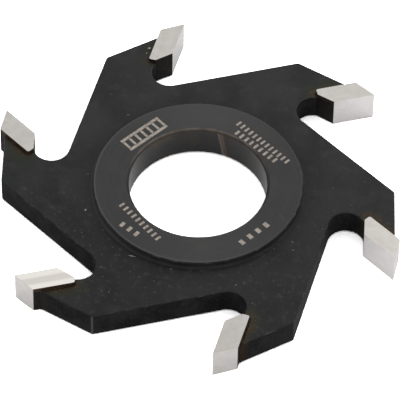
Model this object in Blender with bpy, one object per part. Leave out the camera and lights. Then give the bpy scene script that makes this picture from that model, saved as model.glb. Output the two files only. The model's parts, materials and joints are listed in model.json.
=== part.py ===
"""Straight bore cutter for grooving on a spindle moulder, 125 mm across, 10 mm wide, 40 mm bore.

The steel body is turned with a hub ring that stands well above the plate on the marked side
and just clear of it on the other, and then milled to six swept arms. Each arm ends in a
stepped seat with a carbide tip brazed into it. The tips reach down as far as the hub does,
and the hub stands a little higher than they do on the marked side. Units are metres, +Z is
up on the marked side, and the origin is on the axis of the bore, halfway through the hub.
Seen from above the cutter turns clockwise, so what follows a cutting edge lies
counterclockwise of it.
"""

from math import atan2, cos, pi, radians, sin, tan

import bmesh
import bpy
from mathutils import Vector

# The cutter as a whole
TOOTH_COUNT = 6
FIRST_TOOTH_ANGLE = radians(94.6)
CUTTING_DIAMETER = 0.1250
CUTTING_WIDTH = 0.0100

# The turned body. The steps are what the hub stands above the plate by on either side.
BORE_DIAMETER = 0.0400
BORE_CHAMFER = 0.0008
HUB_DIAMETER = 0.0608
HUB_WIDTH = 0.0105
HUB_RIM_CHAMFER = 0.0003
HUB_FOOT_RADIUS = 0.0008
PLATE_UPPER_STEP = 0.00200
PLATE_LOWER_STEP = 0.00035
STEP_SHARE_CHAMFERED = 0.4
STEP_SHARE_ROUNDED = 0.9

# The milled arms. Behind the tip the back of an arm runs square to the radius at its elbow,
# where the outline turns into the long straight edge that ends in the next gullet.
ELBOW_DEPTH = 0.0056
ELBOW_LAG = radians(24.7)
ELBOW_TURN = radians(45.6)
ELBOW_RADIUS = 0.0010
GULLET_RADIUS = 0.0053
GULLET_WALL_LEAN = radians(15.0)
EDGE_BREAK = 0.0002

# The carbide tips, ground with a hook, a clearance behind the edge and relieved flanks
HOOK_ANGLE = radians(20.0)
CLEARANCE_ANGLE = radians(12.8)
FLANK_RELIEF = radians(2.0)
FLANK_TAPER = radians(0.5)
TIP_THICKNESS = 0.0062
FACE_LENGTH = 0.0123
HEEL_DROP = 0.0039
HEEL_THICKNESS = 0.0021
TIP_CORNER_RADIUS = 0.0006

# The brazed joint between a tip and its seat
BRAZE_THICKNESS = 0.00020
BRAZE_CLEARANCE = 0.00005
BRAZE_STANDS_PROUD = 0.00020

# How finely round shapes are cut up
TURNED_STEPS = 180
FOOT_STEPS = 5
GULLET_STEPS = 18
CORNER_STEPS = 5

CUTTING_RADIUS = CUTTING_DIAMETER / 2
TOOTH_PITCH = 2 * pi / TOOTH_COUNT
SEAT_GAP = BRAZE_THICKNESS + 2 * BRAZE_CLEARANCE
PLATE_TOP = HUB_WIDTH / 2 - PLATE_UPPER_STEP
PLATE_BOTTOM = PLATE_LOWER_STEP - HUB_WIDTH / 2
TIP_BOTTOM = -HUB_WIDTH / 2
TIP_TOP = TIP_BOTTOM + CUTTING_WIDTH


def direction(angle):
    """Unit vector in the plan view."""
    return Vector((cos(angle), sin(angle)))


def offset(line, distance):
    """The line moved outwards along its normal; a line is (angle of its normal, distance)."""
    angle, place = line
    return (angle, place + distance)


def line_through(point, angle):
    """The line through a point whose normal has the given angle."""
    return (angle, direction(angle).dot(point))


def line_between(start, end):
    """The line through two points, facing right of the way from the start to the end."""
    along = end - start
    return line_through(start, atan2(-along.x, along.y))


def meet(first, second):
    """The point where two lines cross."""
    one, two = direction(first[0]), direction(second[0])
    turn = one.x * two.y - one.y * two.x
    x = (first[1] * two.y - second[1] * one.y) / turn
    y = (one.x * second[1] - two.x * first[1]) / turn
    return Vector((x, y))


def turn_between(first, second):
    """Signed turn from one line's normal to the next one's, between -pi and pi."""
    return (second[0] - first[0] + pi) % (2 * pi) - pi


def rounded(first, second, radius, steps):
    """Points round the corner of two lines; the radius is negative in an inner corner."""
    centre = meet(offset(first, -radius), offset(second, -radius))
    turn = turn_between(first, second)
    angles = [first[0] + turn * step / steps for step in range(steps + 1)]
    return [centre + radius * direction(angle) for angle in angles]


class Tooth:
    """Lines of one tooth in plan: the tip's own faces and the steel that carries it."""

    def __init__(self, angle):
        self.edge = CUTTING_RADIUS * direction(angle)
        face_angle = angle - HOOK_ANGLE
        self.outward = direction(face_angle)
        self.backward = direction(face_angle + pi / 2)
        inner_end = self.edge - FACE_LENGTH * self.outward
        heel_front = inner_end - HEEL_DROP * self.outward
        heel_front += (TIP_THICKNESS - HEEL_THICKNESS) * self.backward

        self.face = line_through(self.edge, face_angle - pi / 2)
        self.land = line_through(self.edge, angle + CLEARANCE_ANGLE)
        self.back = line_through(self.edge + TIP_THICKNESS * self.backward, face_angle + pi / 2)
        self.heel = line_through(heel_front, face_angle + pi)
        self.slant = line_between(heel_front, inner_end)

        self.seat_front = heel_front - SEAT_GAP * self.outward
        wall_angle = face_angle - pi / 2 - GULLET_WALL_LEAN
        self.gullet_wall = line_through(self.seat_front, wall_angle)
        elbow_distance = CUTTING_RADIUS - ELBOW_DEPTH
        self.arm_back = (angle + ELBOW_LAG, elbow_distance)
        elbow_ahead = angle + ELBOW_LAG - TOOTH_PITCH
        elbow = elbow_distance * direction(elbow_ahead)
        self.long_edge = line_through(elbow, elbow_ahead + ELBOW_TURN)

    def seat_ledge(self):
        """The ledge of steel under the heel, facing outwards."""
        angle, place = offset(self.heel, SEAT_GAP)
        return (angle - pi, -place)

    def seat_wall(self):
        """The wall of steel behind the tip, facing it."""
        angle, place = offset(self.back, SEAT_GAP)
        return (angle - pi, -place)

    def gullet_radius(self):
        """The radius of the gullet, no larger than its wall leaves room for."""
        corner = meet(self.long_edge, self.gullet_wall)
        wall_length = (self.seat_front - corner).length
        room = wall_length / abs(tan(turn_between(self.long_edge, self.gullet_wall) / 2))
        return min(GULLET_RADIUS, room)


def tip_outline(tooth):
    """Plan of a carbide tip, counterclockwise from the cutting edge."""
    points = [tooth.edge.copy(), meet(tooth.land, tooth.back)]
    points += rounded(tooth.back, tooth.heel, TIP_CORNER_RADIUS, CORNER_STEPS)
    points += [meet(tooth.heel, tooth.slant), meet(tooth.slant, tooth.face)]
    return points


def braze_outline(tooth):
    """Plan of the layer of braze: it follows the back and the heel of the tip."""
    def side(distance):
        back = offset(tooth.back, distance)
        heel = offset(tooth.heel, distance)
        points = [meet(tooth.arm_back, back)]
        points += rounded(back, heel, TIP_CORNER_RADIUS + distance, CORNER_STEPS)
        return points + [meet(heel, tooth.gullet_wall)]

    outer = side(BRAZE_CLEARANCE + BRAZE_THICKNESS)
    inner = side(BRAZE_CLEARANCE)
    return outer + inner[::-1]


def body_outline(inset):
    """Plan of the six arms, counterclockwise, moved in all round by the inset."""
    points = []
    for number in range(TOOTH_COUNT):
        angle = FIRST_TOOTH_ANGLE + number * TOOTH_PITCH
        tooth = Tooth(angle)
        long_edge = offset(tooth.long_edge, -inset)
        wall = offset(tooth.gullet_wall, -inset)
        ledge = offset(tooth.seat_ledge(), -inset)
        seat = offset(tooth.seat_wall(), -inset)
        arm_back = offset(tooth.arm_back, -inset)
        next_edge = offset(Tooth(angle + TOOTH_PITCH).long_edge, -inset)
        seat_radius = TIP_CORNER_RADIUS + SEAT_GAP

        points += rounded(long_edge, wall, -tooth.gullet_radius() - inset, GULLET_STEPS)
        points.append(meet(wall, ledge))
        points += rounded(ledge, seat, -seat_radius - inset, CORNER_STEPS)
        points.append(meet(seat, arm_back))
        points += rounded(arm_back, next_edge, ELBOW_RADIUS - inset, CORNER_STEPS)
    return points


def hub_section(step_down):
    """Section of one side of the hub, from the bore out to the hub's foot on the plate."""
    bore = BORE_DIAMETER / 2
    rim = HUB_DIAMETER / 2
    top = HUB_WIDTH / 2
    plate = top - step_down
    rim_chamfer = min(HUB_RIM_CHAMFER, step_down * STEP_SHARE_CHAMFERED)
    foot = min(HUB_FOOT_RADIUS, (step_down - rim_chamfer) * STEP_SHARE_ROUNDED)
    points = [
        (bore, top - BORE_CHAMFER),
        (bore + BORE_CHAMFER, top),
        (rim - rim_chamfer, top),
        (rim, top - rim_chamfer),
    ]
    for step in range(FOOT_STEPS + 1):
        angle = pi + step / FOOT_STEPS * pi / 2
        points.append((rim + foot * (1 + cos(angle)), plate + foot * (1 + sin(angle))))
    return points


def mesh_from(bm, name):
    """A mesh from a bmesh, with all faces turned outwards."""
    bmesh.ops.recalc_face_normals(bm, faces=bm.faces)
    mesh = bpy.data.meshes.new(name)
    bm.to_mesh(mesh)
    bm.free()
    return mesh


def turned_blank_mesh():
    """The body as it leaves the lathe: a disc with a hub ring on each side and a bore."""
    blank_rim = CUTTING_RADIUS
    section = hub_section(PLATE_UPPER_STEP) + [(blank_rim, PLATE_TOP), (blank_rim, PLATE_BOTTOM)]
    section += [(radius, -height) for radius, height in reversed(hub_section(PLATE_LOWER_STEP))]
    bm = bmesh.new()
    corners = [bm.verts.new((radius, 0.0, height)) for radius, height in section]
    edges = [bm.edges.new((corner, corners[index - 1])) for index, corner in enumerate(corners)]
    bmesh.ops.spin(bm, geom=corners + edges, cent=(0, 0, 0), axis=(0, 0, 1), angle=2 * pi,
                   steps=TURNED_STEPS, use_merge=True)
    bmesh.ops.remove_doubles(bm, verts=bm.verts, dist=1e-6)
    return mesh_from(bm, "turned_blank")


def prism_mesh(name, layers):
    """A closed prism through layers of (plan outline, height), all with as many points."""
    bm = bmesh.new()
    rings = []
    for outline, heights in layers:
        rings.append([bm.verts.new((*point, height)) for point, height in zip(outline, heights)])
    for lower, upper in zip(rings, rings[1:]):
        for index in range(len(lower)):
            bm.faces.new((lower[index - 1], lower[index], upper[index], upper[index - 1]))
    bm.faces.new(rings[0][::-1])
    bm.faces.new(rings[-1])
    return mesh_from(bm, name)


def flat_layer(outline, height):
    """A layer that lies level."""
    return (outline, [height] * len(outline))


def milling_form_mesh():
    """The shape that the arms are milled to; it leans in to break the plate's edges."""
    full = body_outline(0.0)
    past_plate = EDGE_BREAK
    narrow = body_outline(EDGE_BREAK + past_plate)
    layers = [
        (narrow, PLATE_BOTTOM - HUB_WIDTH),
        (narrow, PLATE_BOTTOM - past_plate),
        (full, PLATE_BOTTOM + EDGE_BREAK),
        (full, PLATE_TOP - EDGE_BREAK),
        (narrow, PLATE_TOP + past_plate),
        (narrow, PLATE_TOP + HUB_WIDTH),
    ]
    return prism_mesh("milling_form", [flat_layer(*layer) for layer in layers])


def milled(blank_mesh, form_mesh):
    """What the blank and the milling form have in common, with flat faces made whole."""
    blank = bpy.data.objects.new("blank", blank_mesh)
    form = bpy.data.objects.new("milling_form", form_mesh)
    for piece in (blank, form):
        bpy.context.collection.objects.link(piece)
    cut = blank.modifiers.new("milling", "BOOLEAN")
    cut.operation = "INTERSECT"
    cut.solver = "EXACT"
    cut.object = form
    depsgraph = bpy.context.evaluated_depsgraph_get()
    mesh = bpy.data.meshes.new_from_object(blank.evaluated_get(depsgraph))
    for piece in (blank, form):
        bpy.data.objects.remove(piece)

    bm = bmesh.new()
    bm.from_mesh(mesh)
    bmesh.ops.remove_doubles(bm, verts=bm.verts, dist=1e-6)
    bmesh.ops.dissolve_limit(bm, angle_limit=radians(0.3), verts=bm.verts, edges=bm.edges)
    return mesh_from(bm, "cutter_body")


def tip_mesh(tooth):
    """A carbide tip: widest at the cutting edge, relieved backwards and inwards."""
    outline = tip_outline(tooth)
    reliefs = []
    for point in outline:
        back = (point - tooth.edge).dot(tooth.backward)
        inward = (tooth.edge - point).dot(tooth.outward)
        reliefs.append(back * tan(FLANK_RELIEF) + inward * tan(FLANK_TAPER))
    lower = (outline, [TIP_BOTTOM + relief for relief in reliefs])
    upper = (outline, [TIP_TOP - relief for relief in reliefs])
    return prism_mesh("carbide_tip", [lower, upper])


def braze_mesh(tooth):
    """The braze between a tip and its seat, standing a little proud of the plate."""
    outline = braze_outline(tooth)
    bottom = PLATE_BOTTOM - BRAZE_STANDS_PROUD
    top = PLATE_TOP + BRAZE_STANDS_PROUD
    return prism_mesh("braze_seam", [flat_layer(outline, bottom), flat_layer(outline, top)])


def material(name, colour, metallic, roughness):
    """A plain surface for the solids."""
    result = bpy.data.materials.new(name)
    result.use_nodes = True
    shader = result.node_tree.nodes["Principled BSDF"]
    shader.inputs["Base Color"].default_value = (*colour, 1.0)
    shader.inputs["Metallic"].default_value = metallic
    shader.inputs["Roughness"].default_value = roughness
    result.diffuse_color = (*colour, 1.0)
    return result


def add_piece(name, mesh, parent, turn):
    """An object for one sub-part, turned about the bore axis to its tooth."""
    mesh.shade_smooth()
    mesh.set_sharp_from_angle(angle=radians(25.0))
    piece = bpy.data.objects.new(name, mesh)
    piece.parent = parent
    piece.rotation_euler = (0.0, 0.0, turn)
    bpy.context.collection.objects.link(piece)
    return piece


def build():
    for old in list(bpy.data.objects):
        bpy.data.objects.remove(old)

    axis = bpy.data.objects.new("bore_axis", None)
    bpy.context.collection.objects.link(axis)

    body = milled(turned_blank_mesh(), milling_form_mesh())
    body.materials.append(material("blackened_steel", (0.030, 0.030, 0.032), 0.60, 0.45))
    add_piece("cutter_body", body, axis, 0.0)

    first_tooth = Tooth(FIRST_TOOTH_ANGLE)
    tip = tip_mesh(first_tooth)
    tip.materials.append(material("ground_carbide", (0.550, 0.540, 0.520), 0.90, 0.30))
    braze = braze_mesh(first_tooth)
    braze.materials.append(material("braze", (0.120, 0.080, 0.050), 0.80, 0.50))
    for number in range(TOOTH_COUNT):
        turn = number * TOOTH_PITCH
        add_piece(f"carbide_tip_{number + 1}", tip, axis, turn)
        add_piece(f"braze_seam_{number + 1}", braze, axis, turn)


build()
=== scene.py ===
# %% [markdown]
# # A straight bore cutter, blackened steel with brazed carbide tips
#
# This lesson dresses a grooving cutter for a spindle moulder. The solid model is already
# packed as a fixed frame: one steel body, six carbide tips and six seams of braze. Nothing
# here changes a size. We read the frame, measure it, and spend our effort on what makes such
# a tool look real: the black oxide, the ground faces, the heat colours beside the seats.

import json
from math import atan2, cos, degrees, hypot, pi, radians, sin
from random import Random

import bmesh
import bpy
from mathutils import Matrix, Vector

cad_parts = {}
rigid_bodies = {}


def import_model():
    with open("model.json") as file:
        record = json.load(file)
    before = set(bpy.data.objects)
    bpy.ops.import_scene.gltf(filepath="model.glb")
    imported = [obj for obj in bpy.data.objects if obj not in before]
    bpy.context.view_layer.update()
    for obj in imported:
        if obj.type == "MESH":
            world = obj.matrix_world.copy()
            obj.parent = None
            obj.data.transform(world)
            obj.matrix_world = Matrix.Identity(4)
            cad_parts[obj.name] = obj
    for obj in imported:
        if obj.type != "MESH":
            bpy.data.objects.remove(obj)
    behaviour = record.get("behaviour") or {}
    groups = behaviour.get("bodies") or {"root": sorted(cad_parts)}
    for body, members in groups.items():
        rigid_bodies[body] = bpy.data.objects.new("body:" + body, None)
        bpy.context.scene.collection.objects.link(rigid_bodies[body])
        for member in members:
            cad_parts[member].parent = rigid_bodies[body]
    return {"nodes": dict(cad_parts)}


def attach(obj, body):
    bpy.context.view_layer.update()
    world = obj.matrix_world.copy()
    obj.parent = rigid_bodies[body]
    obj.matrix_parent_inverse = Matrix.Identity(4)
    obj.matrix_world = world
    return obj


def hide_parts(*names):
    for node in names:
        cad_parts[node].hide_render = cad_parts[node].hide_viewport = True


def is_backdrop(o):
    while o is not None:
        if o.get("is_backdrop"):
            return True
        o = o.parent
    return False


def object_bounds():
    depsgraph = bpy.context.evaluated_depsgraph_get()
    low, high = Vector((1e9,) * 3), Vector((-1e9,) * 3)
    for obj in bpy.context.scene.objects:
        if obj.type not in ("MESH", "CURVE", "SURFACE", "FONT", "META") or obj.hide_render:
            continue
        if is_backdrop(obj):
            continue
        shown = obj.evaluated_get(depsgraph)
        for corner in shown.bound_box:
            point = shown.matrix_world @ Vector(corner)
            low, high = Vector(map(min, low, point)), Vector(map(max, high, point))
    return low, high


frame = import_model()
cad_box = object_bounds()
MM = 0.001
cutter_body = frame["nodes"]["cutter_body"]
TOOTH_COUNT = sum(name.startswith("carbide_tip_") for name in frame["nodes"])
print("teeth:", TOOTH_COUNT, "box in mm:", [round(v / MM, 2) for v in cad_box[1] - cad_box[0]])

# %% [markdown]
# ## Measure before you decorate
#
# Every finish below belongs to a real surface: the ring that the spindle collars press on,
# the thinner plate, the bore. Instead of typing those sizes again we read them from the
# corners of the packed body. If the model is changed one day, these finishes follow. Only the
# marks, nicks, stains and patches are given one by one.

# %% Read the main sizes of the body
body_corners = [corner.co for corner in cutter_body.data.vertices]
HUB_TOP = max(corner.z for corner in body_corners)
BORE_RADIUS = min(hypot(corner.x, corner.y) for corner in body_corners)
HUB_RADIUS = max(hypot(corner.x, corner.y) for corner in body_corners if corner.z > HUB_TOP - 0.05 * MM)
plate_heights = [corner.z for corner in body_corners if hypot(corner.x, corner.y) > HUB_RADIUS + 3 * MM]
PLATE_TOP, PLATE_UNDER = max(plate_heights), min(plate_heights)
for name, size in (("hub top", HUB_TOP), ("plate top", PLATE_TOP), ("plate underside", PLATE_UNDER),
                   ("bore radius", BORE_RADIUS), ("hub radius", HUB_RADIUS)):
    print(name, round(size / MM, 2), "mm")

# %% [markdown]
# Each tip has its own directions: outwards along its cutting face, and backwards, away from
# the cut. The rake face is the largest upright face of the tip, so its normal tells us which
# way is forward. The corner that is farthest from the bore is the cutting edge.


# %% Find the directions of the first tooth
def tooth_directions(node):
    """Cutting edge, outward and backward direction of a tip, in plan."""
    corners = [corner.co for corner in node.data.vertices]
    edge = max(corners, key=lambda corner: hypot(corner.x, corner.y))
    upright = [face for face in node.data.polygons if abs(face.normal.z) < 0.3]
    rake = max(upright, key=lambda face: face.area)
    backward = -Vector((rake.normal.x, rake.normal.y)).normalized()
    outward = Vector((backward.y, -backward.x))
    return Vector((edge.x, edge.y)), outward, backward


first_tip = frame["nodes"]["carbide_tip_1"]
EDGE, OUTWARD, BACKWARD = tooth_directions(first_tip)
tip_plan = [Vector((corner.co.x, corner.co.y)) - EDGE for corner in first_tip.data.vertices]
TIP_BACK = max(point.dot(BACKWARD) for point in tip_plan)
TIP_HEEL = min(point.dot(OUTWARD) for point in tip_plan)
FIRST_ANGLE = atan2(EDGE.y, EDGE.x)
PITCH = 2 * pi / TOOTH_COUNT
print("first edge at", round(degrees(FIRST_ANGLE), 1), "degrees, tip", round(TIP_BACK / MM, 1),
      "mm thick and", round(-TIP_HEEL / MM, 1), "mm long")

# %% [markdown]
# ## The camera
#
# The photograph looks down on the cutter at about fifty degrees from more than a metre away
# with a long lens, so its circles are almost true ellipses. We build the camera's own three
# axes as vectors and put them in a matrix: clearer than guessing three rotation angles.

# %% Place the camera
SENSOR_WIDTH = 36.0
FOCAL_LENGTH = 370.26
CAMERA_DISTANCE = 1190.4 * MM
CAMERA_ELEVATION = radians(49.82)
CAMERA_ROLL = radians(1.10)
LOOK_AT = Vector((0.67, -2.19, -0.25)) * MM


def camera_axes():
    """Right, up and backward direction of the camera, as the rows of its turn."""
    backward = Vector((0.0, -cos(CAMERA_ELEVATION), sin(CAMERA_ELEVATION)))
    level_right = Vector((1.0, 0.0, 0.0))
    level_up = backward.cross(level_right)
    right = level_right * cos(CAMERA_ROLL) + level_up * sin(CAMERA_ROLL)
    up = level_up * cos(CAMERA_ROLL) - level_right * sin(CAMERA_ROLL)
    return right, up, backward


def new_object(name, data):
    made = bpy.data.objects.new(name, data)
    bpy.context.collection.objects.link(made)
    return made


camera_data = bpy.data.cameras.new("camera")
camera_data.sensor_fit = "HORIZONTAL"
camera_data.sensor_width = SENSOR_WIDTH
camera_data.lens = FOCAL_LENGTH
camera = new_object("camera", camera_data)
view_axes = Matrix(camera_axes())
camera_place = Matrix.Translation(LOOK_AT + view_axes[2] * CAMERA_DISTANCE)
camera.matrix_world = camera_place @ view_axes.transposed().to_4x4()
bpy.context.scene.camera = camera
bpy.context.scene.view_settings.view_transform = "Standard"
print("camera stands at", [round(v, 3) for v in camera.matrix_world.translation], "m")

# %% [markdown]
# ## A small kit for finishes
#
# Materials in Blender are graphs of nodes. Wiring them by hand takes four lines for each
# link, which buries the idea. This class keeps one Principled shader and lets us write a
# finish as short sentences: a noise of such a size, a blend of two colours, a bump so deep.
# Sizes are in millimetres, because a scratch or a grain is something one measures.


class Wiring:
    """Short ways to add nodes to a tree."""

    def __init__(self, tree):
        self.tree = tree

    def node(self, kind, *values, **settings):
        """A new node with its settings, and its inputs fed in order."""
        made = self.tree.nodes.new("ShaderNode" + kind)
        for name, setting in settings.items():
            setattr(made, name, setting)
        for socket, value in zip(made.inputs, values):
            if value is not None:
                self.feed(socket, value)
        return made

    def feed(self, socket, value):
        """Links a socket, or sets a plain value."""
        if isinstance(value, bpy.types.NodeSocket):
            self.tree.links.new(value, socket)
        else:
            socket.default_value = value

    def vector(self, operation, first, second=(0, 0, 0)):
        made = self.node("VectorMath", first, second, operation=operation)
        return made.outputs["Value" if operation in ("DOT_PRODUCT", "LENGTH") else "Vector"]

    def math(self, operation, *values):
        return self.node("Math", *values, operation=operation).outputs[0]

    def times(self, first, second):
        return self.math("MULTIPLY", first, second)

    def band(self, value, low, high, start=0.0, end=1.0):
        """A soft step from start to end while the value goes from low to high."""
        made = self.node("MapRange", value, low, high, start, end, interpolation_type="SMOOTHSTEP")
        return made.outputs[0]

    def blend(self, factor, first, second):
        """A colour between two colours."""
        made = self.node("Mix", data_type="RGBA")
        for index, value in zip((0, 6, 7), (factor, first, second)):
            self.feed(made.inputs[index], self.opaque(value))
        return made.outputs[2]

    def point(self, x, y, z):
        """A vector made of three values."""
        return self.node("CombineXYZ", x, y, z).outputs[0]

    def noise_at(self, place, scale, detail):
        made = self.node("TexNoise", place)
        made.inputs["Scale"].default_value = scale
        made.inputs["Detail"].default_value = detail
        return made.outputs[0]

    @staticmethod
    def opaque(value):
        return (*value, 1.0) if isinstance(value, tuple) and len(value) == 3 else value


def grey(tone):
    return (tone, tone, tone)


class Finish(Wiring):
    """A material in the making, with sizes in millimetres on the object itself."""

    def __init__(self, name, metallic=0.0, roughness=0.4, specular=0.5):
        self.material = bpy.data.materials.new(name)
        self.material.use_nodes = True
        super().__init__(self.material.node_tree)
        self.shader = self.tree.nodes["Principled BSDF"]
        self.shader.inputs["Metallic"].default_value = metallic
        self.shader.inputs["Roughness"].default_value = roughness
        self.shader.inputs["Specular IOR Level"].default_value = specular
        here = self.node("TexCoord").outputs["Object"]
        self.place = self.vector("MULTIPLY", here, (1 / MM, 1 / MM, 1 / MM))

    def noise(self, size, detail=2.0, stretch=(1, 1, 1), shift=0.0):
        """Soft noise with lumps of the given size; a stretch below one draws it out."""
        drawn = self.vector("MULTIPLY", self.place, stretch)
        moved = self.vector("ADD", drawn, (shift, shift * 1.7, shift * 0.6))
        return self.noise_at(moved, 1 / size, detail)

    def coordinate(self, axis):
        """How far along X, Y or Z a point lies, in millimetres."""
        return self.node("SeparateXYZ", self.place).outputs[axis]

    def colour(self, value):
        self.feed(self.shader.inputs["Base Color"], self.opaque(value))

    def roughness(self, value):
        self.feed(self.shader.inputs["Roughness"], value)

    def bump(self, height, depth):
        """Relief: the height runs from 0 to 1 and the depth is in millimetres."""
        made = self.node("Bump")
        made.inputs["Distance"].default_value = depth * MM
        made.inputs["Strength"].default_value = 1.0
        self.feed(made.inputs["Height"], height)
        if self.shader.inputs["Normal"].is_linked:
            self.feed(made.inputs["Normal"], self.shader.inputs["Normal"].links[0].from_socket)
        self.feed(self.shader.inputs["Normal"], made.outputs[0])


print("the kit knows", [name for name in (*vars(Wiring), *vars(Finish)) if not name.startswith("_")])

# %% [markdown]
# ## The studio: a white floor and soft light
#
# The photograph has a pure white ground and hardly any shadow. A floor that is merely lit
# white would need so much light that the tool itself would turn grey. So the floor keeps a
# plain pale colour for the light it throws back, and looks brighter only to the camera and in
# reflections. It is still a lit surface, so the dark line of shadow under the plate stays.


# %% Lay the floor
def ray_share(wiring, seen, mirrored, otherwise):
    """One value for camera rays, one for mirrored and refracted rays, one for all others."""
    rays = wiring.node("LightPath").outputs
    mirror = wiring.math("MAXIMUM", rays["Is Glossy Ray"], rays["Is Transmission Ray"])
    first = wiring.node("Mix", mirror, None, otherwise, mirrored).outputs[0]
    return wiring.node("Mix", rays["Is Camera Ray"], None, first, seen).outputs[0]


FLOOR_SPAN = 4.0
FLOOR_GAP = 0.02 * MM
FLOOR_SEEN, FLOOR_MIRRORED, FLOOR_LIT = 3.4, 1.35, 0.70
floor_mesh = bpy.data.meshes.new("floor")
floor_corners = [(x * FLOOR_SPAN / 2, y * FLOOR_SPAN / 2, 0.0)
                 for x, y in ((-1, -1), (1, -1), (1, 1), (-1, 1))]
floor_mesh.from_pydata(floor_corners, [], [(0, 1, 2, 3)])
floor = new_object("floor", floor_mesh)
floor.location.z = -HUB_TOP - FLOOR_GAP
floor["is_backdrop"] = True

paper = Finish("white_paper")
paper_tone = ray_share(paper, FLOOR_SEEN, FLOOR_MIRRORED, FLOOR_LIT)
matt = paper.node("BsdfDiffuse", paper.point(paper_tone, paper_tone, paper_tone))
paper.feed(paper.tree.nodes["Material Output"].inputs["Surface"], matt.outputs[0])
floor_mesh.materials.append(paper.material)
print("floor at", round(floor.location.z / MM, 2), "mm")

# %% [markdown]
# The light of the room comes from the world: even and a little brighter from the back right,
# where the photograph is brightest. One large soft box stands on that side and gives the
# plate its slow fall from light to dark. Soft light has no hard shadow edge.

# %% Light the room
ROOM_LIGHT = 0.80
world = bpy.data.worlds.new("studio")
world.use_nodes = True
room = Wiring(world.node_tree)
background = world.node_tree.nodes["Background"]
background.inputs["Color"].default_value = (1.0, 1.0, 1.0, 1.0)
towards = room.node("TexCoord").outputs["Generated"]
BRIGHT_SIDE = (0.60, 0.55, 0.58)
side = room.band(room.vector("DOT_PRODUCT", towards, BRIGHT_SIDE), -1.0, 1.0, 0.80, 1.10)
room_tone = ray_share(room, 1.0, 1.0, ROOM_LIGHT)
room.feed(background.inputs["Strength"], room.times(side, room_tone))
bpy.context.scene.world = world


def soft_box(name, azimuth, elevation, distance, size, power):
    """A square soft box that looks at the cutter; azimuth 0 is the camera's side."""
    data = bpy.data.lights.new(name, "AREA")
    data.size = size
    data.energy = power
    box = new_object(name, data)
    turn, rise = radians(azimuth), radians(elevation)
    where = Vector((sin(turn) * cos(rise), -cos(turn) * cos(rise), sin(rise)))
    box.location = where * distance
    box.rotation_euler = where.to_track_quat("Z", "Y").to_euler()
    return box


key = soft_box("soft_box_back_right", azimuth=140, elevation=34, distance=0.60, size=0.34, power=0.55)
print("soft box at", [round(v, 2) for v in key.location])

# %% [markdown]
# ## Where a point lies on its tooth
#
# The six teeth are alike, so one finish should know all six seats. We fold the plan like a
# paper star: the angle round the bore is rounded to the nearest tooth, and the point is turned
# back by that many teeth. What is left are two plain distances from the first cutting edge,
# one outwards along the tip and one backwards into the steel. The number of the tooth is kept
# too: six teeth of one shape never look alike, so a row of six factors gives each its own tone.
# On the carbide these tones are painted light and shade.


# %% Fold six teeth onto one
def axis_angle(finish):
    """Angle round the bore's axis, in radians."""
    return finish.math("ARCTAN2", finish.coordinate("Y"), finish.coordinate("X"))


def axis_distance(finish):
    """Distance from the bore's axis, in mm."""
    x, y = finish.coordinate("X"), finish.coordinate("Y")
    return finish.math("SQRT", finish.math("ADD", finish.times(x, x), finish.times(y, y)))


def tooth_place(finish):
    """Distance outwards and backwards from the nearest cutting edge in mm, and the tooth."""
    turns = finish.math("DIVIDE", finish.math("SUBTRACT", axis_angle(finish), FIRST_ANGLE), PITCH)
    tooth = finish.math("ROUND", turns)
    turned = finish.node("VectorRotate", finish.place, rotation_type="Z_AXIS")
    finish.feed(turned.inputs["Angle"], finish.times(tooth, -PITCH))
    from_edge = finish.vector("SUBTRACT", turned.outputs[0], (*(EDGE / MM), 0))
    along = finish.vector("DOT_PRODUCT", from_edge, (*OUTWARD, 0))
    back = finish.vector("DOT_PRODUCT", from_edge, (*BACKWARD, 0))
    return along, back, finish.math("FLOORED_MODULO", tooth, TOOTH_COUNT)


OUTER_END, FACE_SIDE = 4.0, -2.0


def seat_distance(finish, along, back):
    """How far a point lies from the carbide, in mm; its two free sides are drawn out."""
    reaches = []
    for value, low, high in ((along, TIP_HEEL / MM, OUTER_END), (back, FACE_SIDE, TIP_BACK / MM)):
        centred = finish.math("ABSOLUTE", finish.math("SUBTRACT", value, (low + high) / 2))
        reaches.append(finish.math("MAXIMUM", finish.math("SUBTRACT", centred, (high - low) / 2), 0.0))
    return finish.vector("LENGTH", finish.point(*reaches, 0.0))


def own_tone(finish, tooth, tones):
    """A grey factor for each tip in turn, from the first one on counterclockwise."""
    made = finish.node("ValToRGB", finish.math("DIVIDE", finish.math("ADD", tooth, 0.5), TOOTH_COUNT))
    ramp = made.color_ramp
    ramp.interpolation = "CONSTANT"
    for index, tone in enumerate(tones):
        stop = ramp.elements[0] if index == 0 else ramp.elements.new(index / TOOTH_COUNT)
        stop.color = (tone, tone, tone, 1.0)
    ramp.elements.remove(ramp.elements[-1])
    return made.outputs[0]


print("the fold turns by", round(degrees(PITCH)), "degrees a tooth")

# %% [markdown]
# ## Dust, scratches and patches
#
# Wear is easier to believe in layers, each with its own size. Dust is a cell noise in which only
# some cells hold a speck. A hairline is where a drawn-out noise crosses its middle value. Wide
# darker and lighter patches are few, so each is listed one by one and a noise frays it.


# %% Make helpers for wear
def dust(finish, cell, size, share):
    """Small light specks: one cell in so many has a speck of the given size."""
    cells = finish.node("TexVoronoi")
    finish.feed(cells.inputs["Vector"], finish.place)
    cells.inputs["Scale"].default_value = 1 / cell
    near = finish.band(cells.outputs["Distance"], size / cell, size / cell * 0.5, 0.0, 1.0)
    chosen = finish.node("SeparateXYZ", cells.outputs["Color"]).outputs[0]
    return finish.times(near, finish.math("LESS_THAN", chosen, share))


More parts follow.
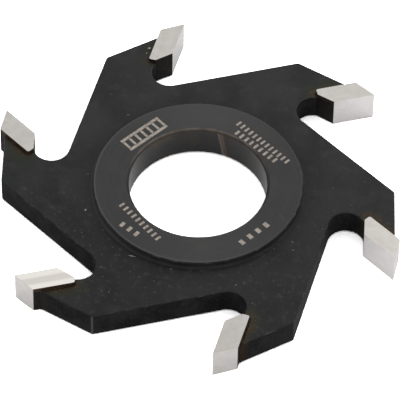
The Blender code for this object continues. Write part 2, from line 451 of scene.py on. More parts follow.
def hair_scratches(finish, turn, shift):
    """Long hairlines: where a drawn-out noise crosses its middle value, broken up by a second one."""
    turned = finish.node("VectorRotate", finish.place, rotation_type="Z_AXIS")
    turned.inputs["Angle"].default_value = radians(turn)
    drawn = finish.vector("MULTIPLY", turned.outputs[0], (0.10, 1.3, 0))
    lumps = finish.noise_at(finish.vector("ADD", drawn, (shift, shift, 0)), 0.45, 1.0)
    off_middle = finish.math("ABSOLUTE", finish.math("SUBTRACT", lumps, 0.5))
    line = finish.band(off_middle, 0.0, 0.008, 1.0, 0.0)
    return finish.times(line, finish.band(finish.noise(7.0, 2.0, shift=shift), 0.50, 0.62))


PLATE_PATCHES = {
    "dark_on_left_arm": ((-42.5, -6.5), 9.0, 0.65, (0.0085, 0.0085, 0.0092)),
    "light_left": ((-34.5, 19.0), 15.0, 0.45, grey(0.0300)),
    "dark_by_lower_left_arm": ((-33.0, -22.0), 8.0, 0.45, (0.0100, 0.0100, 0.0105)),
    "dark_on_lower_left_arm": ((-28.5, -37.5), 9.0, 0.65, (0.0080, 0.0080, 0.0085)),
    "dark_on_top_arm": ((-20.0, 41.0), 10.0, 0.40, (0.0120, 0.0120, 0.0125)),
    "light_front": ((-2.0, -38.0), 12.0, 0.45, (0.0300, 0.0290, 0.0310)),
}


def wide_patches(finish, base):
    """Lays wide soft darker and lighter patches over a base colour."""
    for (x, y), reach, strength, tone in PLATE_PATCHES.values():
        off = finish.vector("LENGTH", finish.vector("SUBTRACT", finish.place, (x, y, PLATE_TOP / MM)))
        ragged = finish.math("ADD", off, finish.band(finish.noise(5.0, 4.0, shift=x), 0.3, 0.7, -3.0, 3.0))
        base = finish.blend(finish.band(ragged, reach, reach * 0.2, 0.0, strength), base, tone)
    return base


print(len(PLATE_PATCHES), "stains and rubbed patches")

# %% [markdown]
# ## Heat beside the seats
#
# Brazing heats the steel beside each seat, and its colour changes with the distance: burnt
# brown, then olive, then a faint green. We lay the widest colour first and the brown last. No
# two teeth were heated alike, so each colour has its own strength on each tooth.

# %% Lay the colours of heat
FRINGE_REACH, OLIVE_REACH, BROWN_REACH = 5.8, 4.0, 1.7
HEAT_BROWN = (0.30, 0.80, 0.80, 1.00, 1.00, 0.95)
HEAT_NARROW = (1.00, 1.00, 1.00, 0.75, 0.55, 0.85)
HEAT_OLIVE = (0.55, 0.90, 1.00, 0.85, 0.50, 1.00)


def heat_colours(finish, base):
    """Lays the colours of the heat over a base colour."""
    along, back, tooth = tooth_place(finish)
    distance = seat_distance(finish, along, back)
    ragged = finish.math("ADD", distance, finish.band(finish.noise(2.2, 5.0), 0.3, 0.7, -0.8, 0.8))
    reached = own_tone(finish, tooth, HEAT_OLIVE)
    fringe = finish.times(finish.band(ragged, FRINGE_REACH, 3.6, 0.0, 0.50), reached)
    olive = finish.times(finish.band(ragged, OLIVE_REACH, 1.8, 0.0, 0.80), reached)
    near = finish.times(ragged, own_tone(finish, tooth, HEAT_NARROW))
    brown = finish.band(near, BROWN_REACH, 0.4, 0.0, 0.95)
    brown = finish.times(brown, own_tone(finish, tooth, HEAT_BROWN))
    crust = finish.band(finish.noise(0.45, 3.0, shift=17.0), 0.45, 0.62)
    burnt = finish.blend(crust, (0.028, 0.0160, 0.0065), (0.072, 0.047, 0.021))
    base = finish.blend(fringe, base, (0.0150, 0.0205, 0.0165))
    base = finish.blend(olive, base, (0.0235, 0.0222, 0.0120))
    return finish.blend(brown, base, burnt)


print("heat shows up to", FRINGE_REACH, "mm from a seat")

# %% [markdown]
# ## Black oxide on the plate
#
# The plate is ground and then blackened in a hot bath. The result is satin: nearly black, with
# faint clouds and a fine grain. The near side has more smudges and soft specks. Painted shade
# darkens the plate towards the near side and towards the foot of the ring.

# %% Make the plate's finish
TOWARDS_FAR_SIDE = (0.0, 1.0, 0.0)


def plate_steel():
    finish = Finish("black_oxide_plate", roughness=0.42, specular=0.16)
    clouds = finish.band(finish.noise(13.0, 5.0), 0.36, 0.62)
    base = wide_patches(finish, finish.blend(clouds, (0.0135, 0.0137, 0.0141), grey(0.0235)))
    haze = finish.band(finish.noise(4.0, 6.0, shift=21.0), 0.50, 0.74, 0.0, 0.75)
    base = finish.blend(haze, base, (0.032, 0.032, 0.0315))
    # painted shade: the plate darkens towards the foot of the ring
    shade_by_ring = finish.band(axis_distance(finish), HUB_RADIUS / MM + 9.0, HUB_RADIUS / MM + 0.5, 0.0, 0.35)
    base = finish.blend(shade_by_ring, base, (0.0060, 0.0060, 0.0066))
    across = finish.vector("DOT_PRODUCT", finish.place, TOWARDS_FAR_SIDE)
    # painted shade: the plate darkens towards the near side
    base = finish.blend(finish.band(across, 45.0, -60.0, 0.0, 0.45), base, (0.0050, 0.0050, 0.0056))
    base = heat_colours(finish, base)
    scratches = finish.math("MAXIMUM", hair_scratches(finish, 25, 3.0), hair_scratches(finish, -50, 31.0))
    base = finish.blend(finish.times(scratches, 0.16), base, (0.075, 0.075, 0.074))
    fine_dust = finish.times(dust(finish, 1.3, 0.13, 0.40), 0.45)
    specks = finish.math("MAXIMUM", dust(finish, 3.0, 0.20, 0.42), fine_dust)
    handled = finish.band(across, 12.0, -18.0)
    smudges = finish.times(finish.band(finish.noise(1.7, 4.0, shift=41.0), 0.54, 0.70, 0.0, 0.45), handled)
    base = finish.blend(smudges, base, (0.036, 0.0355, 0.035))
    soft_specks = finish.times(dust(finish, 2.1, 0.42, 0.60), finish.times(handled, 0.36))
    base = finish.blend(soft_specks, base, (0.085, 0.084, 0.082))
    finish.colour(finish.blend(finish.times(specks, 0.55), base, (0.19, 0.19, 0.185)))
    finish.roughness(finish.band(finish.noise(5.0, 4.0, shift=8.0), 0.3, 0.7, 0.36, 0.50))
    finish.bump(finish.noise(0.35, 3.0, shift=2.0), 0.004)
    return finish.material


plate_finish = plate_steel()
print(plate_finish.name, "has", len(plate_finish.node_tree.nodes), "nodes")

# %% [markdown]
# ## The turned faces
#
# The hub ring was faced on a lathe and ground, so its marks run in circles. We make them from
# the radius alone: a noise that changes along the radius and hardly along the angle draws
# rings. Such a lay also draws out the highlights, so the shader gets a tangent that runs round
# the bore. The ring is smoother than the plate and looks lighter. A painted highlight runs along
# its rim, strongest on one side, and painted light brightens its far side.


# %% Make the hub's finishes
def rings(finish, pitch, detail=2.0, shift=0.0):
    """Noise drawn out into rings about the bore."""
    place = finish.point(axis_distance(finish), axis_angle(finish), shift)
    return finish.noise_at(place, 1 / pitch, detail)


RIM_HIGHLIGHT_ANGLE = radians(205)


def hub_steel():
    finish = Finish("ground_hub_ring", roughness=0.38, specular=0.30)
    finish.shader.inputs["Anisotropic"].default_value = 0.8
    lay = finish.node("Tangent", direction_type="RADIAL", axis="Z")
    finish.feed(finish.shader.inputs["Tangent"], lay.outputs[0])
    circles = finish.band(rings(finish, 0.5), 0.3, 0.7)
    base = finish.blend(circles, (0.0225, 0.0225, 0.0228), (0.0275, 0.0275, 0.0272))
    haze = finish.band(finish.noise(7.0, 5.0, shift=3.0), 0.48, 0.72, 0.0, 0.7)
    base = finish.blend(haze, base, (0.034, 0.033, 0.031))
    # painted highlight: a lighter line along the rim, strongest towards one side
    off_highlight_side = finish.math("SUBTRACT", axis_angle(finish), RIM_HIGHLIGHT_ANGLE)
    highlight_side = finish.band(finish.math("COSINE", off_highlight_side), -0.9, 0.9, 0.15, 0.9)
    rim = finish.band(axis_distance(finish), HUB_RADIUS / MM - 0.65, HUB_RADIUS / MM - 0.30)
    base = finish.blend(finish.times(rim, highlight_side), base, grey(0.055))
    # painted light: the ring is lighter towards the far side
    lit_far_side = finish.band(finish.coordinate("Y"), 12.0, 28.0, 0.0, 0.5)
    base = finish.blend(lit_far_side, base, (0.038, 0.037, 0.036))
    grain = finish.band(finish.noise(0.5, 2.0, shift=5.0), 0.58, 0.72, 0.0, 0.35)
    base = finish.blend(grain, base, grey(0.045))
    specks = dust(finish, 2.2, 0.11, 0.16)
    finish.colour(finish.blend(finish.times(specks, 0.35), base, (0.14, 0.14, 0.135)))
    finish.bump(rings(finish, 0.16), 0.0015)
    return finish.material


def foot_steel():
    finish = Finish("turned_hub_foot", roughness=0.55, specular=0.09)
    mottle = finish.band(finish.noise(4.0, 3.0, shift=9.0), 0.40, 0.70, 0.0, 0.6)
    base = finish.blend(finish.band(rings(finish, 0.4), 0.3, 0.7), (0.017, 0.017, 0.0175), grey(0.021))
    base = finish.blend(mottle, base, grey(0.034))
    # painted light: the foot is lighter on the left side
    lit_left_side = finish.band(finish.coordinate("X"), -10.0, -27.0, 0.0, 0.6)
    finish.colour(finish.blend(lit_left_side, base, grey(0.048)))
    finish.bump(rings(finish, 0.4), 0.002)
    return finish.material


hub_finish, foot_finish = hub_steel(), foot_steel()
print(hub_finish.name, foot_finish.name)

# %% [markdown]
# The bore is honed and dark. A pale streak runs up it, slanted a little, as a spindle that
# slides in and out would leave, and further round there is a brown stain. The chamfer above is
# dark at its sides, a painted shade, and brown on the far side, with a lighter band along its
# outer edge there, a painted highlight.


# %% Make the bore's finishes
STREAK_ANGLE, STREAK_SLANT, STREAK_HALF_WIDTH = radians(69.5), radians(0.55), radians(3.2)
STAIN_ANGLE, STAIN_HALF_WIDTH = radians(122), radians(17)


def bore_steel():
    finish = Finish("honed_bore", roughness=0.26, specular=0.32)
    angle, z = axis_angle(finish), finish.coordinate("Z")
    round_bore = finish.times(angle, BORE_RADIUS / MM)
    drawn = finish.noise_at(finish.point(round_bore, finish.times(z, 0.30), 0.0), 0.26, 4.0)
    base = finish.blend(finish.band(drawn, 0.42, 0.62), (0.0060, 0.0068, 0.0085), (0.020, 0.016, 0.011))
    base = finish.blend(finish.band(z, 1.5, 4.2, 0.0, 0.75), base, (0.020, 0.013, 0.008))
    off_stain = finish.math("ABSOLUTE", finish.math("SUBTRACT", angle, STAIN_ANGLE))
    stained = finish.band(off_stain, STAIN_HALF_WIDTH, STAIN_HALF_WIDTH * 0.3, 0.0, 0.8)
    stained = finish.times(stained, finish.band(z, 0.0, 3.5))
    base = finish.blend(stained, base, (0.044, 0.030, 0.017))
    middle = finish.math("ADD", finish.times(z, STREAK_SLANT), STREAK_ANGLE)
    off_streak = finish.math("SUBTRACT", angle, middle)
    off_middle = finish.math("ABSOLUTE", off_streak)
    streak = finish.band(off_middle, STREAK_HALF_WIDTH, STREAK_HALF_WIDTH * 0.5, 0.0, 0.9)
    pale_side = finish.band(off_streak, STREAK_HALF_WIDTH * 0.1, STREAK_HALF_WIDTH * 0.6)
    streaked = finish.blend(pale_side, (0.105, 0.066, 0.050), (0.150, 0.125, 0.108))
    finish.colour(finish.blend(streak, base, streaked))
    finish.bump(finish.noise(0.3, 2.0, stretch=(0.3, 0.3, 3.0)), 0.003)
    return finish.material


def chamfer_steel():
    finish = Finish("chamfer_painted_light", metallic=0.5, roughness=0.38)
    sine = finish.math("SINE", axis_angle(finish))
    patches = finish.band(finish.noise(3.0, 3.0), 0.30, 0.70)
    edge = finish.band(axis_distance(finish), BORE_RADIUS / MM + 0.20, BORE_RADIUS / MM + 0.55)
    lit_far_side = finish.band(sine, 0.1, 0.8, 0.10, 1.0)
    wear_and_highlight = finish.blend(patches, (0.062, 0.052, 0.044), (0.120, 0.105, 0.092))
    brown = finish.blend(patches, (0.020, 0.015, 0.011), (0.040, 0.030, 0.022))
    # painted shade: the sides of the chamfer are darker than its brown far side
    dark = finish.blend(finish.band(sine, 0.2, 0.7), (0.014, 0.014, 0.0145), brown)
    # painted highlight: a lighter band along the outer edge, on the far side only
    finish.colour(finish.blend(finish.times(edge, lit_far_side), dark, wear_and_highlight))
    finish.bump(finish.noise(0.3), 0.003)
    return finish.material


bore_finish, chamfer_finish = bore_steel(), chamfer_steel()
print(bore_finish.name, chamfer_finish.name)

# %% [markdown]
# ## Milled walls and worn arrises
#
# The outline of the arms was milled, which leaves upright feed marks, and the black is deep
# there. Heat has browned the walls beside some seats. The elbow, where the back of an arm
# bends, carries a painted highlight on one arm. Along the arrises, where two faces meet, the
# oxide rubs off first, and painted light makes them lighter on the far side, as on the plate.

# %% Make the walls' and arrises' finishes
PAST_THE_TIP, ELBOW_POINTS_TO = radians(12), radians(47)


def elbow_place():
    """Where the first arm's back bends, in mm outwards and backwards from its cutting edge."""
    on_back = []
    for corner in body_corners:
        behind_edge = (atan2(corner.y, corner.x) - FIRST_ANGLE) % (2 * pi)
        if corner.z > PLATE_TOP - 0.5 * MM and PAST_THE_TIP < behind_edge < PITCH / 2:
            on_back.append(corner)
    bisector = FIRST_ANGLE + ELBOW_POINTS_TO
    elbow = max(on_back, key=lambda corner: corner.x * cos(bisector) + corner.y * sin(bisector))
    off = Vector((elbow.x, elbow.y)) - EDGE
    return off.dot(OUTWARD) / MM, off.dot(BACKWARD) / MM


ELBOW_ALONG, ELBOW_BACK = elbow_place()
ELBOW_HIGHLIGHT = (0.20, 0.20, 1.00, 0.15, 0.20, 0.20)
WALL_BROWN = (0.00, 0.20, 0.20, 0.80, 0.60, 0.20)


def wall_steel():
    finish = Finish("milled_walls", roughness=0.60, specular=0.03)
    feed = finish.noise(0.45, 2.0, stretch=(1, 1, 0.03), shift=4.0)
    clouds = finish.band(finish.noise(6.0, 5.0), 0.38, 0.64)
    base = finish.blend(clouds, (0.0095, 0.0095, 0.0102), (0.0200, 0.0200, 0.0207))
    mottle = finish.band(finish.noise(0.9, 4.0, shift=12.0), 0.50, 0.70, 0.0, 0.45)
    base = finish.blend(mottle, base, (0.034, 0.034, 0.035))
    base = finish.blend(finish.band(feed, 0.45, 0.75, 0.0, 0.2), base, grey(0.030))
    along, back, tooth = tooth_place(finish)
    off_elbow = finish.point(finish.math("SUBTRACT", along, ELBOW_ALONG),
                             finish.math("SUBTRACT", back, ELBOW_BACK), 0.0)
    # painted highlight: a light spot on the elbow of one arm
    wear_and_highlight = finish.band(finish.vector("LENGTH", off_elbow), 0.42, 0.18)
    wear_and_highlight = finish.times(wear_and_highlight, own_tone(finish, tooth, ELBOW_HIGHLIGHT))
    burnt = finish.band(seat_distance(finish, along, back), 2.2, 0.5)
    burnt = finish.times(burnt, own_tone(finish, tooth, WALL_BROWN))
    base = finish.blend(burnt, base, (0.034, 0.022, 0.010))
    finish.colour(finish.blend(wear_and_highlight, base, (0.085, 0.085, 0.084)))
    finish.bump(feed, 0.004)
    return finish.material


def arris_steel():
    finish = Finish("worn_and_lit_arris", roughness=0.45, specular=0.15)
    # painted light: the arrises are lighter towards the far side
    lit_far_side = finish.band(finish.coordinate("Y"), -10.0, 30.0)
    oxide = finish.blend(lit_far_side, (0.0125, 0.0125, 0.013), grey(0.036))
    wear_and_highlight = finish.band(finish.noise(2.6, 4.0, shift=6.0), 0.50, 0.70)
    finish.colour(finish.blend(wear_and_highlight, oxide, (0.055, 0.054, 0.052)))
    finish.bump(finish.noise(0.4), 0.004)
    return finish.material


wall_finish, arris_finish = wall_steel(), arris_steel()
print(wall_finish.name, arris_finish.name)

# %% [markdown]
# ## Carbide: ground, and as sintered
#
# Tungsten carbide is ground only where it has to be true: the rake face, the clearance behind
# the edge and both flanks. Those faces are a warm pale grey with fine lines along the tip. Their
# different colours on rake, land and flank, and each tip's own tone, are painted light and shade.
# One flank is painted brighter, a painted highlight, and carries lengthwise bands of a fresh
# grind. The back and heel stay as they left the furnace, dull and dark, with flux burnt brown
# above the plate.

# %% Make the carbide's finishes
# painted highlight: this tooth's flank is painted brighter, with real lengthwise bands of a fresh grind
REGROUND_LIT_TOOTH, REGROUND_MIDDLE = 2, 3.3


def ground_carbide(name, dull, bright, roughness, tones, fresh_and_lit=None):
    """A ground face: a fine grain along the tip, soft clouds, and a tone for each tip that paints its
    light and shade.
    """
    finish = Finish(name, metallic=1.0, roughness=roughness)
    along, back, tooth = tooth_place(finish)
    height = finish.math("ADD", finish.coordinate("Z"), finish.times(tooth, 7.3))
    place = finish.point(finish.times(along, 0.12), back, height)
    lines = finish.noise_at(finish.vector("MULTIPLY", place, (0.3, 7.0, 7.0)), 1.0, 2.0)
    clouds = finish.band(finish.noise(2.5, 4.0, shift=14.0), 0.30, 0.70)
    tone = finish.vector("MULTIPLY", finish.blend(clouds, dull, bright), own_tone(finish, tooth, tones))
    if fresh_and_lit:
        reground_lit = finish.math("COMPARE", tooth, REGROUND_LIT_TOOTH, 0.5)
        middle = finish.math("ABSOLUTE", finish.math("SUBTRACT", back, REGROUND_MIDDLE))
        tone = finish.blend(reground_lit, tone, finish.blend(finish.band(middle, 0.6, 1.7), *fresh_and_lit))
    finish.colour(finish.blend(finish.band(lines, 0.35, 0.75, 0.0, 0.10), tone, (0.75, 0.74, 0.72)))
    finish.roughness(finish.band(lines, 0.3, 0.7, roughness * 0.9, roughness * 1.1))
    finish.bump(lines, 0.0002)
    return finish.material


FLUX_BROWN = (0.05, 1.00, 1.00, 0.80, 0.80, 0.45)


def sintered_carbide():
    finish = Finish("sintered_carbide", roughness=0.55, specular=0.12)
    stained = finish.band(finish.noise(1.6, 4.0), 0.40, 0.70)
    base = finish.blend(stained, (0.0045, 0.0045, 0.0055), (0.014, 0.010, 0.007))
    tooth, z = tooth_place(finish)[2], finish.coordinate("Z")
    above_plate = finish.times(finish.band(z, PLATE_TOP / MM - 0.2, PLATE_TOP / MM),
                               finish.band(z, PLATE_TOP / MM + 1.5, PLATE_TOP / MM + 0.5, 0.25, 1.0))
    flux = finish.times(above_plate, own_tone(finish, tooth, FLUX_BROWN))
    finish.colour(finish.blend(flux, base, (0.046, 0.026, 0.016)))
    finish.bump(finish.noise(0.25, 3.0), 0.008)
    return finish.material


# painted light and shade: the rake is painted brighter than the land and the land than the flank, and the
# rows of tones brighten or darken single tips to even out their light
flank_finish = ground_carbide("carbide_flank", (0.490, 0.460, 0.430), (0.530, 0.515, 0.485), 0.32,
                              tones=(0.95, 0.93, 1.00, 0.86, 0.94, 0.95),
                              fresh_and_lit=((0.600, 0.560, 0.530), (0.740, 0.710, 0.670)))
rake_finish = ground_carbide("carbide_rake", (0.575, 0.550, 0.545), (0.600, 0.590, 0.585), 0.30,
                             tones=(0.74, 1.00, 1.00, 1.00, 1.18, 1.05))
land_finish = ground_carbide("carbide_land", (0.545, 0.520, 0.500), (0.585, 0.570, 0.555), 0.32,
                             tones=(1.00, 1.00, 0.97, 0.93, 1.00, 1.00))
sintered_finish = sintered_carbide()
print(flank_finish.name, rake_finish.name, land_finish.name, sintered_finish.name)

# %% [markdown]
# ## Braze, etched marks and bare steel
#
# The braze has burnt to a dark brown with a few brassy glints, and below the plate's upper face
# it is sooty, on some teeth more than on others. The marks on the hub are a light etch. Where
# something struck the tool bare steel shows through the black, and old nicks have dulled.

# %% Make the small finishes
BRAZE_SOOT = (1.00, 0.80, 0.80, 0.15, 0.50, 0.60)


def burnt_braze():
    finish = Finish("burnt_braze", metallic=0.4, roughness=0.45, specular=0.2)
    glint = finish.band(finish.noise(0.5, 3.0), 0.60, 0.74)
    patches = finish.band(finish.noise(1.5, 2.0), 0.35, 0.65)
    stained = finish.blend(patches, (0.010, 0.007, 0.005), (0.036, 0.022, 0.012))
    clean = finish.blend(glint, stained, (0.15, 0.095, 0.045))
    below_face = finish.band(finish.coordinate("Z"), PLATE_TOP / MM - 0.1, PLATE_TOP / MM - 0.5)
    sooty = finish.times(below_face, own_tone(finish, tooth_place(finish)[2], BRAZE_SOOT))
    finish.colour(finish.blend(sooty, clean, (0.006, 0.0052, 0.0048)))
    finish.bump(finish.noise(0.3, 3.0), 0.02)
    return finish.material


def etched_steel():
    finish = Finish("light_etch", roughness=0.6, specular=0.3)
    worn = finish.band(finish.noise(0.8, 3.0), 0.35, 0.70)
    finish.colour(finish.blend(worn, (0.42, 0.37, 0.32), (0.26, 0.23, 0.20)))
    finish.bump(finish.noise(0.15, 2.0), 0.004)
    return finish.material


def dulled_steel():
    finish = Finish("dulled_steel", roughness=0.5, specular=0.3)
    finish.colour(finish.blend(finish.noise(0.3, 2.0), (0.050, 0.049, 0.047), (0.120, 0.117, 0.112)))
    finish.bump(finish.noise(0.1, 2.0), 0.004)
    return finish.material


def bare_steel():
    finish = Finish("bare_steel", metallic=0.8, roughness=0.35)
    finish.colour(finish.blend(finish.noise(0.2, 2.0), grey(0.20), (0.42, 0.42, 0.41)))
    finish.bump(finish.noise(0.1, 2.0), 0.004)
    return finish.material


braze_finish, etch_finish = burnt_braze(), etched_steel()
bare_finish, dulled_finish = bare_steel(), dulled_steel()
print(braze_finish.name, etch_finish.name, bare_finish.name, dulled_finish.name)

# %% [markdown]
# ## A finer body from the packed one
#
# A packed mesh is made of loose triangles with knife-sharp edges. We copy it, weld its corners
# and dissolve what is flat, so that one face of the steel is one face of the mesh. Then every
# face can be told apart by its height, its slope and its distance from the bore, and takes the
# finish of the surface that it really is.


# %% Copy, weld and sort the faces
WELD_DISTANCE = 0.001 * MM
FLAT_ENOUGH = radians(0.4)


def welded(node, flatten=True):
    """The node's mesh with its corners welded and, if asked, its flat faces joined."""
    bm = bmesh.new()
    bm.from_mesh(node.data)
    bmesh.ops.remove_doubles(bm, verts=bm.verts, dist=WELD_DISTANCE)
    if flatten:
        bmesh.ops.dissolve_limit(bm, angle_limit=FLAT_ENOUGH, verts=bm.verts, edges=bm.edges)
    return bm


def finished_mesh(bm, name, finishes):
    """The edited mesh under a name, with its row of finishes."""
    mesh = bpy.data.meshes.new(name)
    bm.to_mesh(mesh)
    bm.free()
    for finish in finishes:
        mesh.materials.append(finish)
    return mesh


NEAR, BESIDE = 0.06 * MM, 2 * MM
LEVEL, SLOPING, UPRIGHT = 0.99, 0.3, 0.1
BODY_FINISHES = [plate_finish, hub_finish, foot_finish, bore_finish, chamfer_finish,
                 wall_finish, arris_finish]


def body_finish(mesh, face):
    """The finish of one face of the body."""
    corners = [mesh.vertices[index].co for index in face.vertices]
    far = max(hypot(corner.x, corner.y) for corner in corners)
    low, high = min(corner.z for corner in corners), max(corner.z for corner in corners)
    slope = abs(face.normal.z)
    on_ring = max(high, -low) > HUB_TOP - NEAR
    if slope > LEVEL:
        return hub_finish if on_ring else plate_finish
    if far < BORE_RADIUS + NEAR:
        return bore_finish
    if far < BORE_RADIUS + BESIDE:
        return chamfer_finish
    stands_on_plate = low > PLATE_TOP - NEAR or high < PLATE_UNDER + NEAR
    if far < HUB_RADIUS + BESIDE and stands_on_plate:
        return arris_finish if on_ring and slope > SLOPING else foot_finish
    return wall_finish if slope < UPRIGHT else arris_finish


def add_piece(name, mesh, node):
    """Links a piece that stands for a node and rides on the cutter."""
    piece = new_object(name, mesh)
    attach(piece, "root")
    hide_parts(node)
    return piece


body_mesh = finished_mesh(welded(cutter_body), "blackened_body", BODY_FINISHES)
for face in body_mesh.polygons:
    face.material_index = BODY_FINISHES.index(body_finish(body_mesh, face))
body = add_piece("blackened_body", body_mesh, "cutter_body")
for index, finish in enumerate(BODY_FINISHES):
    print(finish.name, sum(face.material_index == index for face in body_mesh.polygons), "faces")

# %% [markdown]
# No real edge is perfectly sharp. A bevel a twentieth of a millimetre wide is invisible as a
# shape and yet it is what catches the light along an arris. We let the modifier do its work
# and keep the result, because the etching below has to cut into it.


# %% Round the arrises
ARRIS_ROUND = 0.05 * MM


def settle(piece):
    """Replaces the mesh of a piece by what its modifiers make of it."""
    depsgraph = bpy.context.evaluated_depsgraph_get()
    mesh = bpy.data.meshes.new_from_object(piece.evaluated_get(depsgraph))
    piece.modifiers.clear()
    piece.data = mesh
    return len(mesh.polygons)


def round_arrises(piece, width):
    bevel = piece.modifiers.new("arris", "BEVEL")
    bevel.width = width
    bevel.segments = 2
    bevel.limit_method = "ANGLE"
    bevel.angle_limit = radians(30)
    bevel.use_clamp_overlap = False
    return settle(piece)


def shade_flat_and_round(piece):
    """Smooth shading that leaves the flat faces flat."""
    piece.data.shade_smooth()
    piece.data.set_sharp_from_angle(angle=radians(35))
    weighted = piece.modifiers.new("flat_faces", "WEIGHTED_NORMAL")
    weighted.keep_sharp = True
    weighted.weight = 100


print("faces of the body after rounding:", round_arrises(body, ARRIS_ROUND))

# %% [markdown]
# ## Etched marks and small wounds
#
# The real hub carries etched lines of text. Text belongs to a maker, so ours are plain bars in
# the same places: they keep the look from a step away and say nothing. Like a real etch they
# are shallow pockets, cut with one Boolean. First we gather the bars into one cutting tool.

# %% Make the etching tool
ETCH_DEPTH = 0.02 * MM
CUT_CLEAR = 0.20 * MM
tool = bmesh.new()


def cut_bar(centre, length, width, turn):
    """One plain bar with its long side along the turn, all in metres and radians."""
    where = Matrix.Translation((*centre, HUB_TOP)) @ Matrix.Rotation(turn, 4, "Z")
    size = Matrix.Diagonal((length, width, ETCH_DEPTH + CUT_CLEAR, 1.0))
    lift = Matrix.Translation((0, 0, (CUT_CLEAR - ETCH_DEPTH) / 2))
    bmesh.ops.create_cube(tool, size=1.0, matrix=where @ lift @ size)


ROW_HEIGHT = 1.9 * MM
ROW_SHARE = 0.42


def etch_row(start, end, count):
    """A row of bars across the line from start to end, both in mm."""
    first, last = Vector(start) * MM, Vector(end) * MM
    step = (last - first) / count
    turn = atan2(step.y, step.x)
    for index in range(count):
        centre = first + step * (index + 0.5)
        cut_bar(centre, step.length * ROW_SHARE, ROW_HEIGHT, turn)


MARK_ROWS = {
    "outer_row": ((11.05, 23.29), (26.28, 7.86), 13),
    "inner_row": ((10.50, 19.79), (22.80, 8.16), 9),
    "lower_right_row": ((11.75, -23.35), (20.85, -14.58), 4),
    "lower_left_short_row": ((-22.4, -15.66), (-16.26, -20.72), 3),
    "lower_left_long_row": ((-22.31, -8.54), (-10.52, -22.06), 10),
}
for start, end, count in MARK_ROWS.values():
    etch_row(start, end, count)

BADGE_CENTRE = Vector((-15.99, 18.06)) * MM
BADGE_LENGTH, BADGE_WIDTH, BADGE_TURN = 14.3 * MM, 4.95 * MM, radians(42.8)
BADGE_RAIL = 0.95 * MM
BADGE_RUNGS = 7
RUNG_WIDTH, RUNG_LENGTH = BADGE_RAIL * 0.8, BADGE_WIDTH - 2.3 * BADGE_RAIL
badge_along = Vector((cos(BADGE_TURN), sin(BADGE_TURN)))
badge_across = Vector((-badge_along.y, badge_along.x))
for way in (-1, 1):
    rail_centre = BADGE_CENTRE + badge_across * way * (BADGE_WIDTH - BADGE_RAIL) / 2
    cut_bar(rail_centre, BADGE_LENGTH, BADGE_RAIL, BADGE_TURN)
for rung in range(BADGE_RUNGS):
    place = (rung / (BADGE_RUNGS - 1) - 0.5) * (BADGE_LENGTH - BADGE_RAIL)
    cut_bar(BADGE_CENTRE + badge_along * place, RUNG_WIDTH, RUNG_LENGTH, BADGE_TURN)
print("etching tool:", len(tool.faces) // 6, "bars")

# %% [markdown]
# A tool that is used gets small wounds. Their cutters are shaped like a grain of barley, half
# sunk in the face. A fresh nick is bare, an old one has dulled, and two pale spots of flux
# beside one tooth are made the same way. They join the bars, and one Boolean cuts them all.

# %% Add the nicks and cut
FRESH_NICKS = {
    "left": ((-32.2, -9.7), 0.9, 0.45, 60),
    "plate_scratch_front": ((-18.4, -26.5), 2.6, 0.20, -14),
}
FLUX_SPOTS = {
    "flux_spot_top_tooth": ((-15.3, 53.6), 1.1, 0.8, 20),
    "flux_spot_below_it": ((-16.0, 51.6), 0.6, 0.4, 50),
}
OLD_NICKS = {
    "front": ((-22.96, -26.26), 0.9, 0.30, 10),
    "below_ring": ((-7.2, -31.0), 1.0, 0.50, -20),
    "low": ((-27.1, -30.8), 0.8, 0.4, 30),
    "low_left": ((-24.6, -39.8), 0.7, 0.45, 70),
    "behind": ((-20.9, 26.95), 1.3, 0.50, 5),
    "lower_right": ((11.3, -36.4), 1.1, 0.50, 50),
    "lower_right_again": ((13.6, -35.6), 0.9, 0.35, 40),
    "right": ((27.3, -20.2), 1.2, 0.50, -35),
    "right_low": ((27.5, -23.2), 0.9, 0.50, 40),
    "left_above": ((-31.91, 3.89), 0.7, 0.40, 20),
    "ring_scratch": ((24.2, -12.4), 5.4, 0.12, -60),
    "ring_nick_by_bore": ((21.6, -4.6), 0.5, 0.18, 70),
    "ring_nick": ((25.7, -14.82), 0.6, 0.2, 15),
}
TOOL_FINISHES = [etch_finish, bare_finish, dulled_finish]
NICK_DEPTH = 0.06 * MM


def cut_nick(centre, length, width, turn, top, finish):
    """A cutter like a grain of barley, half sunk in the face."""
    depth = min(width * 0.25, NICK_DEPTH)
    along = Vector((cos(turn), sin(turn), 0.0)) * length / 2
    across = Vector((-sin(turn), cos(turn), 0.0)) * width / 2
    middle = Vector((*centre, top))
    ring = [tool.verts.new(middle + way) for way in (along, across, -along, -across)]
    poles = [tool.verts.new(middle + Vector((0, 0, side * depth))) for side in (1, -1)]
    for index, corner in enumerate(ring):
        for face in (tool.faces.new((ring[index - 1], corner, poles[0])),
                     tool.faces.new((corner, ring[index - 1], poles[1]))):
            face.material_index = TOOL_FINISHES.index(finish)


for nicks, finish in ((FRESH_NICKS, bare_finish), (FLUX_SPOTS, etch_finish), (OLD_NICKS, dulled_finish)):
    for centre, length, width, turn in nicks.values():
        top = HUB_TOP if hypot(*centre) * MM < HUB_RADIUS else PLATE_TOP
        cut_nick(Vector(centre) * MM, length * MM, width * MM, radians(turn), top, finish)
tool_mesh = finished_mesh(tool, "etching_tool", TOOL_FINISHES)
etching_tool = new_object("etching_tool", tool_mesh)

etch = body.modifiers.new("etch", "BOOLEAN")
etch.operation = "DIFFERENCE"
etch.solver = "EXACT"
etch.material_mode = "TRANSFER"
etch.object = etching_tool
print("faces of the body after etching:", settle(body))
bpy.data.objects.remove(etching_tool)
shade_flat_and_round(body)
print("finishes on the body:", [material.name for material in body.data.materials])

# %% [markdown]
# ## The tips
#
# Each tip keeps its packed shape, with its edges just broken. Its faces are told apart by where
# they look: up or down is a flank, forward is the rake face, outward is the clearance land, and
# everything that looks back or inwards was never ground.


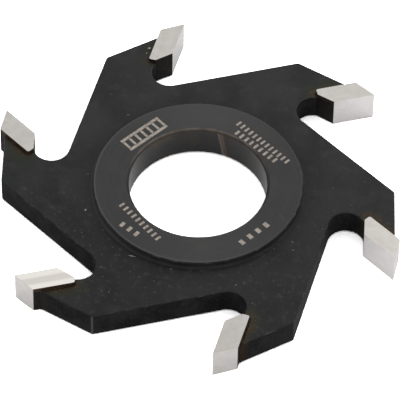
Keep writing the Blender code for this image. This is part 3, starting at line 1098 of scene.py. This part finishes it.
# %% Dress the six tips
TIP_FINISHES = [flank_finish, rake_finish, land_finish, sintered_finish]
TIP_EDGE_ROUND = 0.04 * MM


def tip_finish(face, outward, backward):
    """The finish of one face of a tip."""
    plan = Vector((face.normal.x, face.normal.y))
    if abs(face.normal.z) > 0.9:
        return flank_finish
    if plan.dot(backward) < -0.95:
        return rake_finish
    return land_finish if plan.dot(outward) > 0.5 else sintered_finish


for number in range(1, TOOTH_COUNT + 1):
    node = frame["nodes"][f"carbide_tip_{number}"]
    edge, outward, backward = tooth_directions(node)
    mesh = finished_mesh(welded(node), f"ground_tip_{number}", TIP_FINISHES)
    for face in mesh.polygons:
        face.material_index = TIP_FINISHES.index(tip_finish(face, outward, backward))
    tip = add_piece(f"ground_tip_{number}", mesh, f"carbide_tip_{number}")
    faces = round_arrises(tip, TIP_EDGE_ROUND)
    shade_flat_and_round(tip)
    print(tip.name, faces, "faces, edge at", round(edge.length / MM, 2), "mm")

# %% [markdown]
# ## The braze
#
# Braze runs out of a joint and freezes as a small irregular fillet in the corner between the
# tip and the steel. We take the packed seam, fuse it with a bead that follows its upper and
# lower edge, and let a voxel remesh melt them together before a noise makes it uneven.


# %% Melt the six seams
VOXEL = 0.13 * MM
BEAD_RADIUS = 0.30 * MM
BEAD_SUNK = 0.04 * MM
BEAD_STEP = 0.5 * MM
BEAD_UNEVEN, BEAD_END = (0.55, 1.15), 0.6
SEAM_WIDEST = 0.6 * MM
SEAM_SEED = 40


def facing_pairs(outline, shift):
    """Corners that face each other across a seam whose outline starts at the given corner."""
    count = len(outline)
    return [(outline[(shift + i) % count], outline[(shift - 1 - i) % count]) for i in range(count // 2)]


def widest(pairs):
    return max((a - b).length for a, b in pairs)


def seam_path(node):
    """The middle line of a seam from end to end, in plan."""
    bm = welded(node)
    top = max((face for face in bm.faces if face.normal.z > 0.9), key=lambda face: face.calc_area())
    outline = [corner.co.copy() for corner in top.verts]
    bm.free()
    pairs = facing_pairs(outline, 0)
    if widest(pairs) > SEAM_WIDEST:
        pairs = min((facing_pairs(outline, shift) for shift in range(len(outline))), key=widest)
    return [(a + b) / 2 for a, b in pairs]


def bead_rings(path, height, draw):
    """Points along a path with a wandering radius, at one height."""
    rings = []
    for start, end in zip(path, path[1:]):
        steps = max(1, round((end - start).length / BEAD_STEP))
        for step in range(steps):
            point = start.lerp(end, step / steps)
            rings.append((Vector((point.x, point.y, height)), BEAD_RADIUS * draw.uniform(*BEAD_UNEVEN)))
    rings.append((Vector((path[-1].x, path[-1].y, height)), BEAD_RADIUS * BEAD_END))
    return rings


def melted_seam(node, name, draw):
    bm = welded(node, flatten=False)
    path = seam_path(node)
    for height in (PLATE_TOP - BEAD_SUNK, PLATE_UNDER + BEAD_SUNK):
        for point, radius in bead_rings(path, height, draw):
            bmesh.ops.create_icosphere(bm, subdivisions=2, radius=radius, matrix=Matrix.Translation(point))
    return finished_mesh(bm, name, [braze_finish])


for number in range(1, TOOTH_COUNT + 1):
    node_name = f"braze_seam_{number}"
    mesh = melted_seam(frame["nodes"][node_name], f"melted_seam_{number}", Random(SEAM_SEED + number))
    seam = add_piece(f"melted_seam_{number}", mesh, node_name)
    remesh = seam.modifiers.new("melt", "REMESH")
    remesh.mode = "VOXEL"
    remesh.voxel_size = VOXEL
    smooth = seam.modifiers.new("flow", "SMOOTH")
    smooth.factor = 0.5
    smooth.iterations = 3
    faces = settle(seam)
    seam.data.shade_smooth()
    print(seam.name, faces, "faces")

# %% [markdown]
# ## Compare the boxes
#
# The last cell prints the box of the packed model and the box of the dressed one side by side,
# to show that the looks changed no size.

# %% Compare the boxes and finish
visual_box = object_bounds()
for axis, cad_size, visual_size in zip("xyz", cad_box[1] - cad_box[0], visual_box[1] - visual_box[0]):
    print(axis, "CAD", round(cad_size / MM, 3), "mm, dressed", round(visual_size / MM, 3), "mm")
